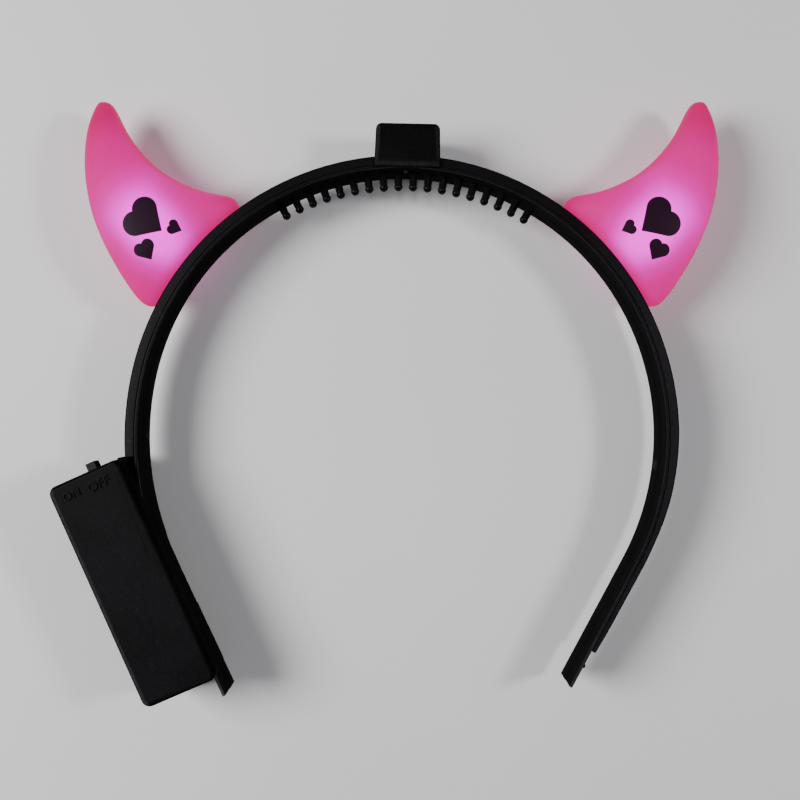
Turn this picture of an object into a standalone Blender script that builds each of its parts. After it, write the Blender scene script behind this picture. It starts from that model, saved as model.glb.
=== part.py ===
"""Light-up devil horns headband, lying on its back with its front face up.

The headband is a rigid plastic arc with two straight legs. An inner band with a comb moulded in
one with it faces the head, and an outer cover closes it. Two hollow soft horns sit on the cover,
each over a small lamp. A small box straddles the band at the crown, and a battery box with a
slide switch sits on the left leg.

Every size below is in millimetres and every angle in degrees. The plan of the headband is drawn
from the centre of its arc: x runs to the right leg, y to the crown and z from the back of the
headband to its front. The whole is then moved so that the origin lies on the surface that the
object rests on, under the middle of its outline.
"""

import math
from collections import namedtuple

import bmesh
import bpy
from mathutils import Matrix, Vector

MM = 0.001

# Place of the arc's centre in the part's own frame
ARC_CENTRE = (3.17, -9.14)

# Clearance between pieces that touch, and how far a cut runs past what it opens
FIT = 0.3
CUT_PAST = 1.0

# Headband: inner face, widths across the strip and depth from back to front
ARC_RADIUS = 71.1
RIM = 1.1
COVER = 2.4
BAND_DEPTH = 13.3
MID_DEPTH = 12.0
BAND_BACK = MID_DEPTH - BAND_DEPTH / 2
BAND_FRONT = MID_DEPTH + BAND_DEPTH / 2
COVER_INNER = RIM + FIT
COVER_OUTER = COVER_INNER + COVER
BAND_EDGE = 0.25
COVER_EDGE = 0.8
STATION_STEP = 6.0

# The band's course from the crown down each side: each run's bend and its length at the inner face
Run = namedtuple("Run", "turn length")
RIGHT_RUNS = (
    Run(turn=63.3, length=78.6),
    Run(turn=54.9, length=70.6),
    Run(turn=0.0, length=37.1),
)
LEFT_RUNS = (
    Run(turn=79.0, length=98.0),
    Run(turn=36.1, length=51.3),
    Run(turn=0.0, length=38.2),
)
RIGHT_END = sum(run.length for run in RIGHT_RUNS)
LEFT_END = -sum(run.length for run in LEFT_RUNS)

# The cover ends at the battery box and short of the right leg's end, and thins towards that end
COVER_LEFT_END = -118.2
COVER_RIGHT_END = RIGHT_END - 11.2
Thickness = namedtuple("Thickness", "along share")
COVER_TAPER = (
    Thickness(along=112.0, share=1.0),
    Thickness(along=129.6, share=0.85),
    Thickness(along=142.0, share=0.62),
    Thickness(along=168.0, share=0.54),
    Thickness(along=COVER_RIGHT_END, share=0.42),
)

# Comb: round teeth on the inner face at mid-depth
TEETH = 18
TOOTH_PITCH = 3.42
TOOTH_MIDDLE = 0.95
TOOTH_RADIUS = 1.0
TOOTH_LENGTH = 4.2
TOOTH_ROOT_FLARE = 0.35
TOOTH_ROOT_HEIGHT = 0.8
TOOTH_SINK = 0.4
TOOTH_SIDES = 8
TOOTH_DOME_RINGS = 3

# Crown box, straddling the band
CROWN_TURN = 1.2
CROWN_WIDTH_TOP = 17.2
CROWN_WIDTH_FOOT = 18.0
CROWN_TOP = 12.1
CROWN_FOOT = 1.4
CROWN_DEPTH = 16.4
CROWN_EDGE = 1.2

# Battery box on the left leg
BOX_TILT = 24.1
BOX_CENTRE = (-71.6, -40.0)
BOX_LENGTH = 63.6
BOX_WIDTH = 21.3
BOX_DEPTH = 24.0
BOX_EDGE = 1.2
SADDLE_WIDTH = 5.2
SADDLE_FRONT = 15.5
SADDLE_END = -152.0

# Door in the back of the battery box
DOOR_LENGTH = 46.0
DOOR_WIDTH = 14.6
DOOR_THICKNESS = 1.2
DOOR_TO_LOWER_END = 4.0

# Slide switch in the upper end of the battery box, stored at off
KNOB_WIDTH = 2.8
KNOB_DEPTH = 4.0
KNOB_HEIGHT = 2.4
KNOB_ROOT = 1.9
KNOB_MIDDLE_DEPTH = 15.0
KNOB_EDGE = 0.3
SWITCH_TRAVEL = 2.5
SWITCH_MIDDLE = -0.4

# Horns: sections from the base to the tip, as seen on the right side of the headband
HornSection = namedtuple("HornSection", "convex concave half_depth bow")
HORN_SECTIONS = (
    HornSection(convex=(66.6, 34.9), concave=(44.7, 60.7), half_depth=6.1, bow=1.85),
    HornSection(convex=(69.9, 34.5), concave=(45.9, 63.8), half_depth=9.2, bow=2.1),
    HornSection(convex=(72.8, 36.5), concave=(49.0, 65.0), half_depth=11.1, bow=1.8),
    HornSection(convex=(76.0, 40.5), concave=(53.0, 65.9), half_depth=11.9, bow=1.4),
    HornSection(convex=(79.3, 45.6), concave=(57.4, 67.5), half_depth=12.0, bow=1.0),
    HornSection(convex=(82.4, 51.6), concave=(61.9, 69.6), half_depth=11.6, bow=0.6),
    HornSection(convex=(84.9, 57.8), concave=(66.2, 72.3), half_depth=10.8, bow=0.3),
    HornSection(convex=(86.6, 64.4), concave=(69.9, 75.6), half_depth=9.6, bow=0.0),
    HornSection(convex=(87.5, 71.2), concave=(73.2, 79.4), half_depth=8.2, bow=0.0),
    HornSection(convex=(87.5, 77.8), concave=(75.7, 83.2), half_depth=6.8, bow=0.0),
    HornSection(convex=(86.7, 83.8), concave=(77.5, 86.8), half_depth=5.2, bow=0.0),
    HornSection(convex=(85.2, 88.3), concave=(79.3, 89.5), half_depth=3.4, bow=0.0),
    HornSection(convex=(84.0, 90.3), concave=(80.8, 90.7), half_depth=1.8, bow=0.0),
)
HORN_TIP = (82.4, 91.2)
HORN_WALL = 1.6
HORN_SIDES = 24
HORN_FULLNESS = 2.3

# Lamp inside each horn, standing on the cover under the middle of the horn
LAMP_ANGLE = 40.9
LAMP_RADIUS = 2.5
LAMP_FLANGE_RADIUS = 2.9
LAMP_FLANGE_HEIGHT = 1.0
LAMP_HEIGHT = 8.6
LAMP_SIDES = 16
LAMP_DOME_RINGS = 4

# Flat on top of a round end, as a share of its radius, and the angle from which an edge stays sharp
DOME_FLAT = 0.15
SHARP_ANGLE = 35.0


def clear_objects():
    for thing in list(bpy.data.objects):
        bpy.data.objects.remove(thing, do_unlink=True)


def make_material(name, colour, roughness, metallic=0.0):
    material = bpy.data.materials.new(name)
    material.use_nodes = True
    shader = material.node_tree.nodes["Principled BSDF"]
    shader.inputs["Base Color"].default_value = (*colour, 1.0)
    shader.inputs["Roughness"].default_value = roughness
    shader.inputs["Metallic"].default_value = metallic
    return material


def to_row(point):
    """A point of the plan, in metres in the part's own frame."""
    x, y, z = point
    return Vector((x + ARC_CENTRE[0], y + ARC_CENTRE[1], z)) * MM


def make_solid(name, mesh, material=None):
    """Turn a bmesh drawn in millimetres on the plan into an object of the part's own frame."""
    for vert in mesh.verts:
        vert.co = to_row(vert.co)
    bmesh.ops.recalc_face_normals(mesh, faces=mesh.faces)
    data = bpy.data.meshes.new(name)
    mesh.to_mesh(data)
    mesh.free()
    solid = bpy.data.objects.new(name, data)
    bpy.context.scene.collection.objects.link(solid)
    if material is not None:
        data.materials.append(material)
    return solid


def combine(solid, other, operation):
    """Join to a solid, or cut from it, another one that is kept only as a guide."""
    other.hide_render = True
    other.display_type = "WIRE"
    modifier = solid.modifiers.new(operation.lower(), "BOOLEAN")
    modifier.operation = operation
    modifier.solver = "EXACT"
    modifier.object = other


def loft(mesh, rings, closed_ends=True):
    """Skin rings of equal length with quads, and close both ends with a face."""
    layers = [[mesh.verts.new(point) for point in ring] for ring in rings]
    for lower, upper in zip(layers, layers[1:]):
        for k in range(len(lower)):
            following = (k + 1) % len(lower)
            mesh.faces.new((lower[k], lower[following], upper[following], upper[k]))
    if closed_ends:
        mesh.faces.new(list(reversed(layers[0])))
        mesh.faces.new(layers[-1])
    return layers


def band_point(along):
    """Point of the inner face and its outward direction, at a distance from the crown."""
    side = 1 if along >= 0 else -1
    runs = RIGHT_RUNS if side > 0 else LEFT_RUNS
    left_to_go = abs(along)
    x, y, turned = 0.0, ARC_RADIUS, 0.0
    for run in runs:
        step = left_to_go if run is runs[-1] else min(left_to_go, run.length)
        bend = math.radians(run.turn) * step / run.length
        chord = step * math.sin(bend / 2) / (bend / 2) if bend else step
        x += chord * math.cos(turned + bend / 2)
        y -= chord * math.sin(turned + bend / 2)
        turned += bend
        left_to_go -= step
    outward = Vector((side * math.sin(turned), math.cos(turned), 0.0))
    return Vector((side * x, y, 0.0)), outward


def stations(start, end):
    count = math.ceil((end - start) / STATION_STEP)
    return [start + (end - start) * k / count for k in range(count + 1)]


def sweep_band(name, start, end, section, material=None):
    """Carry a section of (across, depth) points along the band's course."""
    rings = []
    for along in stations(start, end):
        point, outward = band_point(along)
        ring = [point + outward * across + Vector((0, 0, depth)) for across, depth in section(along)]
        rings.append(ring)
    mesh = bmesh.new()
    loft(mesh, rings)
    return make_solid(name, mesh, material)


def plain_section(inner, outer, back, front):
    corners = ((inner, back), (outer, back), (outer, front), (inner, front))
    return lambda along: corners


def chamfered_rectangle(inner, outer, back, front, inner_edge, outer_edge):
    return (
        (inner, back + inner_edge),
        (inner + inner_edge, back),
        (outer - outer_edge, back),
        (outer, back + outer_edge),
        (outer, front - outer_edge),
        (outer - outer_edge, front),
        (inner + inner_edge, front),
        (inner, front - inner_edge),
    )


def inner_band_section(along):
    return chamfered_rectangle(0.0, RIM, BAND_BACK, BAND_FRONT, BAND_EDGE, BAND_EDGE)


def cover_share(along):
    """Share of the cover's full thickness that is left at a distance from the crown."""
    if along <= COVER_TAPER[0].along:
        return COVER_TAPER[0].share
    for near, far in zip(COVER_TAPER, COVER_TAPER[1:]):
        if along <= far.along:
            way = (along - near.along) / (far.along - near.along)
            return near.share + way * (far.share - near.share)
    return COVER_TAPER[-1].share


def cover_section(along):
    """The cover's strip, with its outer edges rounded in two steps."""
    thickness = COVER * cover_share(along)
    outer = COVER_INNER + thickness
    edge = COVER_EDGE * cover_share(along)
    step = edge * (1 - math.sqrt(0.5))
    back = BAND_BACK
    front = BAND_FRONT
    return (
        (COVER_INNER, back),
        (outer - edge, back),
        (outer - step, back + step),
        (outer, back + edge),
        (outer, front - edge),
        (outer - step, front - step),
        (outer - edge, front),
        (COVER_INNER, front),
    )


def turned_profile(mesh, profile, sides, place):
    """Turn (radius, height) points round the Z axis of a placing matrix, closed at both ends."""
    rings = []
    for radius, height in profile:
        ring = []
        for k in range(sides):
            angle = 2 * math.pi * k / sides
            ring.append(place @ Vector((radius * math.cos(angle), radius * math.sin(angle), height)))
        rings.append(ring)
    loft(mesh, rings)


def dome(radius, base, rings):
    """Profile points of a half ball that ends in a small flat."""
    points = []
    for k in range(1, rings):
        angle = math.radians(90 * k / rings)
        points.append((radius * math.cos(angle), base + radius * math.sin(angle)))
    points.append((radius * DOME_FLAT, base + radius))
    return points


def placed_along(point, direction):
    """Matrix whose Z axis is a direction of the plan and whose origin is a point at mid-depth."""
    across = Vector((0, 0, 1)).cross(direction)
    columns = Matrix((across, Vector((0, 0, 1)), direction)).transposed()
    return Matrix.Translation(point + Vector((0, 0, MID_DEPTH))) @ columns.to_4x4()


def make_comb():
    """All teeth of the comb in one mesh, each sunk a little into the inner band."""
    profile = [
        (TOOTH_RADIUS + TOOTH_ROOT_FLARE, -TOOTH_SINK),
        (TOOTH_RADIUS + TOOTH_ROOT_FLARE, 0.0),
        (TOOTH_RADIUS, TOOTH_ROOT_HEIGHT),
        (TOOTH_RADIUS, TOOTH_LENGTH - TOOTH_RADIUS),
    ] + dome(TOOTH_RADIUS, TOOTH_LENGTH - TOOTH_RADIUS, TOOTH_DOME_RINGS)
    mesh = bmesh.new()
    for k in range(TEETH):
        angle = TOOTH_MIDDLE + TOOTH_PITCH * (k - (TEETH - 1) / 2)
        point, outward = band_point(ARC_RADIUS * math.radians(angle))
        turned_profile(mesh, profile, TOOTH_SIDES, placed_along(point, -outward))
    return make_solid("comb_teeth", mesh)


def make_inner_band(plastic):
    band = sweep_band("inner_band", LEFT_END, RIGHT_END, inner_band_section, plastic)
    combine(band, make_comb(), "UNION")


def make_band_cover(plastic):
    sweep_band("band_cover", COVER_LEFT_END, COVER_RIGHT_END, cover_section, plastic)


def bevelled_block(corners, back, front, edge, segments):
    """Upright block over a quadrilateral of the plan, with all its edges rounded."""
    mesh = bmesh.new()
    rings = [[Vector((x, y, depth)) for x, y in corners] for depth in (back, front)]
    loft(mesh, rings)
    bmesh.ops.recalc_face_normals(mesh, faces=mesh.faces)
    bmesh.ops.bevel(
        mesh,
        geom=list(mesh.edges),
        offset=edge,
        offset_type="OFFSET",
        segments=segments,
        profile=0.5,
        affect="EDGES",
    )
    return mesh


def make_crown_box(plastic):
    """The box sits on the cover, and its front and back walls reach down over the band."""
    turn = math.radians(CROWN_TURN)
    outward = Vector((math.sin(turn), math.cos(turn)))
    sideways = Vector((math.cos(turn), -math.sin(turn)))
    foot = outward * (ARC_RADIUS + CROWN_FOOT)
    top = outward * (ARC_RADIUS + CROWN_TOP)
    corners = (
        foot - sideways * CROWN_WIDTH_FOOT / 2,
        foot + sideways * CROWN_WIDTH_FOOT / 2,
        top + sideways * CROWN_WIDTH_TOP / 2,
        top - sideways * CROWN_WIDTH_TOP / 2,
    )
    back = MID_DEPTH - CROWN_DEPTH / 2
    front = MID_DEPTH + CROWN_DEPTH / 2
    block = bevelled_block(corners, back, front, CROWN_EDGE, segments=2)
    box = make_solid("crown_box", block, plastic)
    reach = ARC_RADIUS * turn + CROWN_WIDTH_FOOT
    passage = plain_section(-CUT_PAST, COVER_OUTER + FIT, BAND_BACK - FIT, BAND_FRONT + FIT)
    combine(box, sweep_band("crown_passage", -reach, reach, passage), "DIFFERENCE")


def box_frame():
    """Directions of the battery box: down along the leg, and across towards the head."""
    tilt = math.radians(BOX_TILT)
    down = Vector((math.sin(tilt), -math.cos(tilt)))
    inward = Vector((math.cos(tilt), math.sin(tilt)))
    return down, inward


def box_point(down_by, inward_by):
    """Point of the plan, measured from the middle of the battery box."""
    down, inward = box_frame()
    point = Vector(BOX_CENTRE) + down * down_by + inward * inward_by
    return point.x, point.y


def box_corners(down_from, down_to, inward_from, inward_to):
    return (
        box_point(down_from, inward_from),
        box_point(down_to, inward_from),
        box_point(down_to, inward_to),
        box_point(down_from, inward_to),
    )


def plain_block(name, corners, back, front, material=None):
    mesh = bmesh.new()
    loft(mesh, [[Vector((x, y, depth)) for x, y in corners] for depth in (back, front)])
    return make_solid(name, mesh, material)


def make_battery_box(plastic):
    """Block with a saddle to the band, a passage for the leg, a switch slot and a door recess."""
    half_length = BOX_LENGTH / 2
    half_width = BOX_WIDTH / 2
    outline = box_corners(-half_length, half_length, -half_width, half_width)
    block = bevelled_block(outline, 0.0, BOX_DEPTH, BOX_EDGE, segments=2)
    box = make_solid("battery_box", block, plastic)

    saddle = plain_section(COVER_INNER, COVER_INNER + SADDLE_WIDTH, BAND_BACK, SADDLE_FRONT)
    combine(box, sweep_band("box_saddle", SADDLE_END, COVER_LEFT_END - FIT, saddle), "UNION")

    beyond = LEFT_END - BOX_LENGTH / 2
    passage = plain_section(-BOX_WIDTH / 2, COVER_INNER, -CUT_PAST, BAND_FRONT + FIT)
    combine(box, sweep_band("leg_passage", beyond, COVER_LEFT_END + FIT, passage), "DIFFERENCE")

    slot_half = (KNOB_WIDTH + SWITCH_TRAVEL) / 2 + FIT
    slot_floor = -half_length + KNOB_ROOT + FIT
    slot = box_corners(
        -half_length - CUT_PAST,
        slot_floor,
        SWITCH_MIDDLE - slot_half,
        SWITCH_MIDDLE + slot_half,
    )
    slot_back = KNOB_MIDDLE_DEPTH - KNOB_DEPTH / 2 - FIT
    slot_front = KNOB_MIDDLE_DEPTH + KNOB_DEPTH / 2 + FIT
    combine(box, plain_block("switch_slot", slot, slot_back, slot_front), "DIFFERENCE")

    door_end = half_length - DOOR_TO_LOWER_END
    recess = box_corners(
        door_end - DOOR_LENGTH - FIT,
        door_end + FIT,
        -DOOR_WIDTH / 2 - FIT,
        DOOR_WIDTH / 2 + FIT,
    )
    combine(box, plain_block("door_recess", recess, -CUT_PAST, DOOR_THICKNESS + FIT), "DIFFERENCE")


def make_battery_door(plastic):
    door_end = BOX_LENGTH / 2 - DOOR_TO_LOWER_END
    outline = box_corners(door_end - DOOR_LENGTH, door_end, -DOOR_WIDTH / 2, DOOR_WIDTH / 2)
    plain_block("battery_door", outline, 0.0, DOOR_THICKNESS, plastic)


def make_switch_knob(plastic):
    """Knob at the off end of its slot, which is the end nearer the head."""
    top = -BOX_LENGTH / 2
    middle = SWITCH_MIDDLE + SWITCH_TRAVEL / 2
    outline = box_corners(
        top - KNOB_HEIGHT,
        top + KNOB_ROOT,
        middle - KNOB_WIDTH / 2,
        middle + KNOB_WIDTH / 2,
    )
    back = KNOB_MIDDLE_DEPTH - KNOB_DEPTH / 2
    front = KNOB_MIDDLE_DEPTH + KNOB_DEPTH / 2
    block = bevelled_block(outline, back, front, KNOB_EDGE, segments=1)
    make_solid("switch_knob", block, plastic)


def horn_ring(section, inset):
    """One section of the horn, drawn in by the wall's thickness for the inside."""
    convex = Vector((*section.convex, 0.0))
    concave = Vector((*section.concave, 0.0))
    middle = (convex + concave) / 2
    across = (concave - convex).normalized()
    tipwards = Vector((across.y, -across.x, 0.0))
    half_width = (concave - convex).length / 2
    inner_width = half_width - inset
    inner_depth = section.half_depth - inset
    power = 2 / HORN_FULLNESS
    ring = []
    for k in range(HORN_SIDES):
        angle = 2 * math.pi * k / HORN_SIDES
        cosine, sine = math.cos(angle), math.sin(angle)
        sideways = inner_width * math.copysign(abs(cosine) ** power, cosine)
        depth = inner_depth * math.copysign(abs(sine) ** power, sine)
        bow = section.bow * (1 - (sideways / half_width) ** 2)
        ring.append(middle + across * sideways + tipwards * bow + Vector((0, 0, MID_DEPTH + depth)))
    return ring


def make_horn(name, side, soft):
    """Hollow horn: outer skin, inner skin one wall thickness in, and a rim where it is open."""
    mesh = bmesh.new()
    outer_rings = [horn_ring(section, 0.0) for section in HORN_SECTIONS]
    inner_rings = [horn_ring(section, HORN_WALL) for section in HORN_SECTIONS[:-1]]
    outer = loft(mesh, outer_rings, closed_ends=False)
    inner = loft(mesh, inner_rings, closed_ends=False)
    tip = Vector((*HORN_TIP, MID_DEPTH))
    inner_tip = tip - Vector((0.0, HORN_WALL, 0.0))
    for layer, apex in ((outer[-1], tip), (inner[-1], inner_tip)):
        summit = mesh.verts.new(apex)
        for k in range(HORN_SIDES):
            mesh.faces.new((layer[k], layer[(k + 1) % HORN_SIDES], summit))
    for k in range(HORN_SIDES):
        following = (k + 1) % HORN_SIDES
        mesh.faces.new((outer[0][following], outer[0][k], inner[0][k], inner[0][following]))
    if side < 0:
        for vert in mesh.verts:
            vert.co.x = -vert.co.x
    return make_solid(name, mesh, soft)


def make_lamp(name, side, clear):
    """Round lamp with a flange, standing on the cover and pointing into the horn."""
    profile = [
        (LAMP_FLANGE_RADIUS, 0.0),
        (LAMP_FLANGE_RADIUS, LAMP_FLANGE_HEIGHT),
        (LAMP_RADIUS, LAMP_FLANGE_HEIGHT),
        (LAMP_RADIUS, LAMP_HEIGHT - LAMP_RADIUS),
    ] + dome(LAMP_RADIUS, LAMP_HEIGHT - LAMP_RADIUS, LAMP_DOME_RINGS)
    angle = math.radians(LAMP_ANGLE)
    outward = Vector((side * math.cos(angle), math.sin(angle), 0.0))
    seat = outward * (ARC_RADIUS + COVER_OUTER + FIT)
    mesh = bmesh.new()
    turned_profile(mesh, profile, LAMP_SIDES, placed_along(seat, outward))
    return make_solid(name, mesh, clear)


def shade_round_pieces():
    for thing in bpy.data.objects:
        if thing.type == "MESH":
            thing.data.shade_smooth()
            thing.data.set_sharp_from_angle(angle=math.radians(SHARP_ANGLE))


def main():
    clear_objects()
    black = make_material("black_plastic", (0.018, 0.016, 0.019), 0.45)
    grey = make_material("switch_grey", (0.09, 0.085, 0.09), 0.5)
    pink = make_material("horn_pink", (1.0, 0.14, 0.45), 0.55)
    clear = make_material("lamp_clear", (0.95, 0.75, 0.95), 0.1)
    make_inner_band(black)
    make_band_cover(black)
    make_crown_box(black)
    make_battery_box(black)
    make_battery_door(black)
    make_switch_knob(grey)
    for side, word in ((-1, "left"), (1, "right")):
        make_horn("horn_" + word, side, pink)
        make_lamp("led_" + word, side, clear)
    shade_round_pieces()


main()
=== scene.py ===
# %% [markdown]
# # A light-up devil horns headband
# This lesson dresses a measured plastic headband with two glowing soft horns. The measured
# solids come in first as a fixed frame, and every piece made here is placed by the same numbers,
# so nothing has to be fitted by eye. The headband lies on its back on a pale floor, seen from
# straight above.

# %% Load the measured solids
import math
from collections import namedtuple

import bmesh
import bpy
from mathutils import Matrix, Vector


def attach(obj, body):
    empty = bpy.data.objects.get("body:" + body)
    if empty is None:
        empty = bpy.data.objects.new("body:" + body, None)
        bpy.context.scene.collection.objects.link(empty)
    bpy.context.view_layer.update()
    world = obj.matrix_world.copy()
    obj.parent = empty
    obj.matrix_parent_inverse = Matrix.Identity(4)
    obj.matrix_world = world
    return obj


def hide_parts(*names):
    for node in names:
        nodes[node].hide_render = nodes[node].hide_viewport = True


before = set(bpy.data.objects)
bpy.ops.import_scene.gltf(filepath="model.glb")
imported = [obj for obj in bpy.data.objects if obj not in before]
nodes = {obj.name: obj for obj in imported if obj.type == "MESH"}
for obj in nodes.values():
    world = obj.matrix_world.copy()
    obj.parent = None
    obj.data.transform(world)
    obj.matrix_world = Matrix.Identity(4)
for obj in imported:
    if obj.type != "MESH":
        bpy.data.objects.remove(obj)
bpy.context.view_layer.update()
print("solids:", ", ".join(sorted(nodes)))

# %% [markdown]
# ## The course of the band
# The band is an arc that opens into two straight legs. One could draw it with a curve, but every
# piece on it needs to know where the band runs at a given distance from the crown, so the course
# is a short table of bends, and one function walks along it. Lengths are in millimetres on the
# inner face, and one factor turns them into Blender's metres.

# %% Course of the band
MM = 0.001
WELD = 0.005 * MM
ARC_CENTRE = Vector((3.17, -9.14, 0.0))
ARC_RADIUS = 71.1
MID_DEPTH = 12.0
BAND_DEPTH = 13.3
Run = namedtuple("Run", "turn length")
RIGHT_RUNS = (Run(63.3, 78.6), Run(54.9, 70.6), Run(0.0, 37.1))
LEFT_RUNS = (Run(79.0, 98.0), Run(36.1, 51.3), Run(0.0, 38.2))
RIGHT_END = sum(run.length for run in RIGHT_RUNS)
LEFT_END = -sum(run.length for run in LEFT_RUNS)


def band_point(along):
    """Point of the inner face and its outward direction, in mm, at a distance from the crown."""
    side = 1 if along >= 0 else -1
    runs = RIGHT_RUNS if side > 0 else LEFT_RUNS
    to_go, turned = abs(along), 0.0
    x, y = 0.0, ARC_RADIUS
    for run in runs:
        step = to_go if run is runs[-1] else min(to_go, run.length)
        bend = math.radians(run.turn) * step / run.length
        chord = step * math.sin(bend / 2) / (bend / 2) if bend else step
        x += chord * math.cos(turned + bend / 2)
        y -= chord * math.sin(turned + bend / 2)
        turned += bend
        to_go -= step
    outward = Vector((side * math.sin(turned), math.cos(turned), 0.0))
    return ARC_CENTRE + Vector((side * x, y, 0.0)), outward


def axes_at(point, outward, depth=MID_DEPTH):
    """Matrix in metres: X points out of the band, Y to its front and Z along it to the right."""
    front = Vector((0.0, 0.0, 1.0))
    turn = Matrix((outward, front, outward.cross(front))).transposed().to_4x4()
    return Matrix.Translation((point + front * depth) * MM) @ turn


def run_at(along):
    """The run of the course that a place along it lies in."""
    runs = RIGHT_RUNS if along > 0 else LEFT_RUNS
    reached = 0.0
    for run in runs:
        reached += run.length
        if abs(along) < reached:
            return run
    return runs[-1]


def bends_between(start, end):
    """Places where the bend changes, with start and end as the first and the last."""
    marks = []
    for runs, side in ((RIGHT_RUNS, 1), (LEFT_RUNS, -1)):
        marks += [side * sum(run.length for run in runs[:k]) for k in range(1, len(runs))]
    return [start] + sorted(mark for mark in marks if start < mark < end) + [end]


for name, along in (("left end", LEFT_END), ("crown", 0.0), ("right end", RIGHT_END)):
    print(name, [round(value, 1) for value in band_point(along)[0].xy])

# %% [markdown]
# ## Small helpers for work in edit mode
# Operators act on whatever is selected, and the loaded solids arrive selected. These helpers
# clear the selection, pick faces, edges or points by their place, and close each piece in the
# same way: its place goes into its mesh, its faces point out, and it rides on its body.


# %% Helpers for selecting and finishing
def deselect_all():
    if bpy.context.mode != "OBJECT":
        bpy.ops.object.mode_set(mode="OBJECT")
    for thing in bpy.context.selected_objects:
        thing.select_set(False)


def activate(piece):
    deselect_all()
    piece.select_set(True)
    bpy.context.view_layer.objects.active = piece


def named(name):
    """Name the primitive that was just added, and its mesh."""
    piece = bpy.context.object
    piece.name = name
    piece.data.name = name
    return piece


def pick(kind, test):
    """In edit mode, select only the points, edges or faces that pass a test of their middle in mm."""
    bpy.ops.mesh.select_mode(type={"verts": "VERT", "edges": "EDGE", "faces": "FACE"}[kind])
    bpy.ops.mesh.select_all(action="DESELECT")
    mesh = bmesh.from_edit_mesh(bpy.context.object.data)
    for part in getattr(mesh, kind):
        if kind == "faces":
            middle = part.calc_center_median()
        elif kind == "edges":
            middle = (part.verts[0].co + part.verts[1].co) / 2
        else:
            middle = part.co
        if test(middle / MM):
            part.select_set(True)
    mesh.select_flush_mode()
    bmesh.update_edit_mesh(bpy.context.object.data)


def edit(piece):
    activate(piece)
    bpy.ops.object.mode_set(mode="EDIT")


def place(piece, matrix):
    """Move a piece and put its place into its mesh."""
    activate(piece)
    piece.matrix_world = matrix
    bpy.ops.object.transform_apply(location=True, rotation=True, scale=True)


def apply_modifier(piece, kind, **settings):
    activate(piece)
    modifier = piece.modifiers.new(kind.lower(), kind)
    for key, value in settings.items():
        setattr(modifier, key, value)
    bpy.ops.object.modifier_apply(modifier=modifier.name)


def cut(piece, cutter, operation="DIFFERENCE"):
    before = len(piece.data.polygons)
    apply_modifier(piece, "BOOLEAN", operation=operation, solver="EXACT", object=cutter)
    if len(piece.data.polygons) < before / 3:
        raise RuntimeError(f"{cutter.name} took too much from {piece.name}")
    bpy.data.objects.remove(cutter, do_unlink=True)


def close_piece(piece, material, slot, body, *replaced, angle=35.0):
    """Turn faces out, smooth what is round, give the finish and say what the piece rides on."""
    edit(piece)
    bpy.ops.mesh.select_all(action="SELECT")
    bpy.ops.mesh.remove_doubles(threshold=WELD)
    bpy.ops.mesh.normals_make_consistent(inside=False)
    bpy.ops.object.mode_set(mode="OBJECT")
    bpy.ops.object.shade_smooth_by_angle(angle=math.radians(angle))
    apply_modifier(piece, "WEIGHTED_NORMAL", keep_sharp=True)
    piece.data.materials.clear()
    piece.data.materials.append(material)
    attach(piece, body)
    if replaced:
        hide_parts(*replaced)
    size = [round(1000 * value, 1) for value in piece.dimensions]
    print(piece.name, "size in mm", size, "faces", len(piece.data.polygons))


def mark_painted_highlight(piece, amount):
    """Store how strong a painted highlight each point gets. amount gets the point in mm and its normal."""
    layer = piece.data.attributes.new("painted_highlight", "FLOAT", "POINT")
    for vert, mark in zip(piece.data.vertices, layer.data):
        mark.value = amount(vert.co / MM, vert.normal)


# %% [markdown]
# ## Shared shader groups
# Three effects turn up in more than one finish, so each is a node group with named inputs: the
# fine grain of a moulded surface, soft broad unevenness in how glossy it is, and paleness. The
# paleness is a fine dusting on what faces up, which is also painted light on those faces, a
# painted shade on the upper half of the band, and painted highlights on edges where a point
# attribute says so. A group gives out masks, values and heights only. The Principled shader
# stays in each material, where its own settings can be read.


# %% Helpers for building nodes
def new_group(name, inputs, outputs):
    group = bpy.data.node_groups.new(name, "ShaderNodeTree")
    for title, kind, value in inputs:
        socket = group.interface.new_socket(title, in_out="INPUT", socket_type=kind)
        if value is not None:
            socket.default_value = value
    for title, kind in outputs:
        group.interface.new_socket(title, in_out="OUTPUT", socket_type=kind)
    start = group.nodes.new("NodeGroupInput")
    end = group.nodes.new("NodeGroupOutput")
    return group, start.outputs, end.inputs


def add_node(tree, kind, links=None, **settings):
    """Add a node, set its properties, and set or connect its inputs by name or number."""
    node = tree.nodes.new(kind)
    for key, value in settings.items():
        setattr(node, key, value)
    for key, value in (links or {}).items():
        if isinstance(value, bpy.types.NodeSocket):
            tree.links.new(value, node.inputs[key])
        else:
            node.inputs[key].default_value = value
    return node


def math_node(tree, operation, first, second=0.0, third=0.0):
    links = {0: first, 1: second, 2: third}
    return add_node(tree, "ShaderNodeMath", links, operation=operation).outputs[0]


def vector_node(tree, operation, first, second=(0.0, 0.0, 0.0)):
    """Result of a vector operation: a number for a length, a distance or a dot product."""
    node = add_node(tree, "ShaderNodeVectorMath", {0: first, 1: second}, operation=operation)
    return node.outputs["Value" if operation in ("LENGTH", "DISTANCE", "DOT_PRODUCT") else "Vector"]


def split_vector(tree, vector):
    return add_node(tree, "ShaderNodeSeparateXYZ", {0: vector}).outputs


def join_vector(tree, **parts):
    return add_node(tree, "ShaderNodeCombineXYZ", parts).outputs[0]


def mix(tree, share, first, second, kind="RGBA"):
    """Blend of two colours, or with kind FLOAT of two values, by a share."""
    links = {"Factor": share, "A": first, "B": second}
    return add_node(tree, "ShaderNodeMix", links, data_type=kind).outputs["Result"]


def noise(tree, place_in, scale, detail, roughness=0.5):
    links = {"Vector": place_in, "Scale": scale, "Detail": detail, "Roughness": roughness}
    return add_node(tree, "ShaderNodeTexNoise", links).outputs["Fac"]


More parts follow.
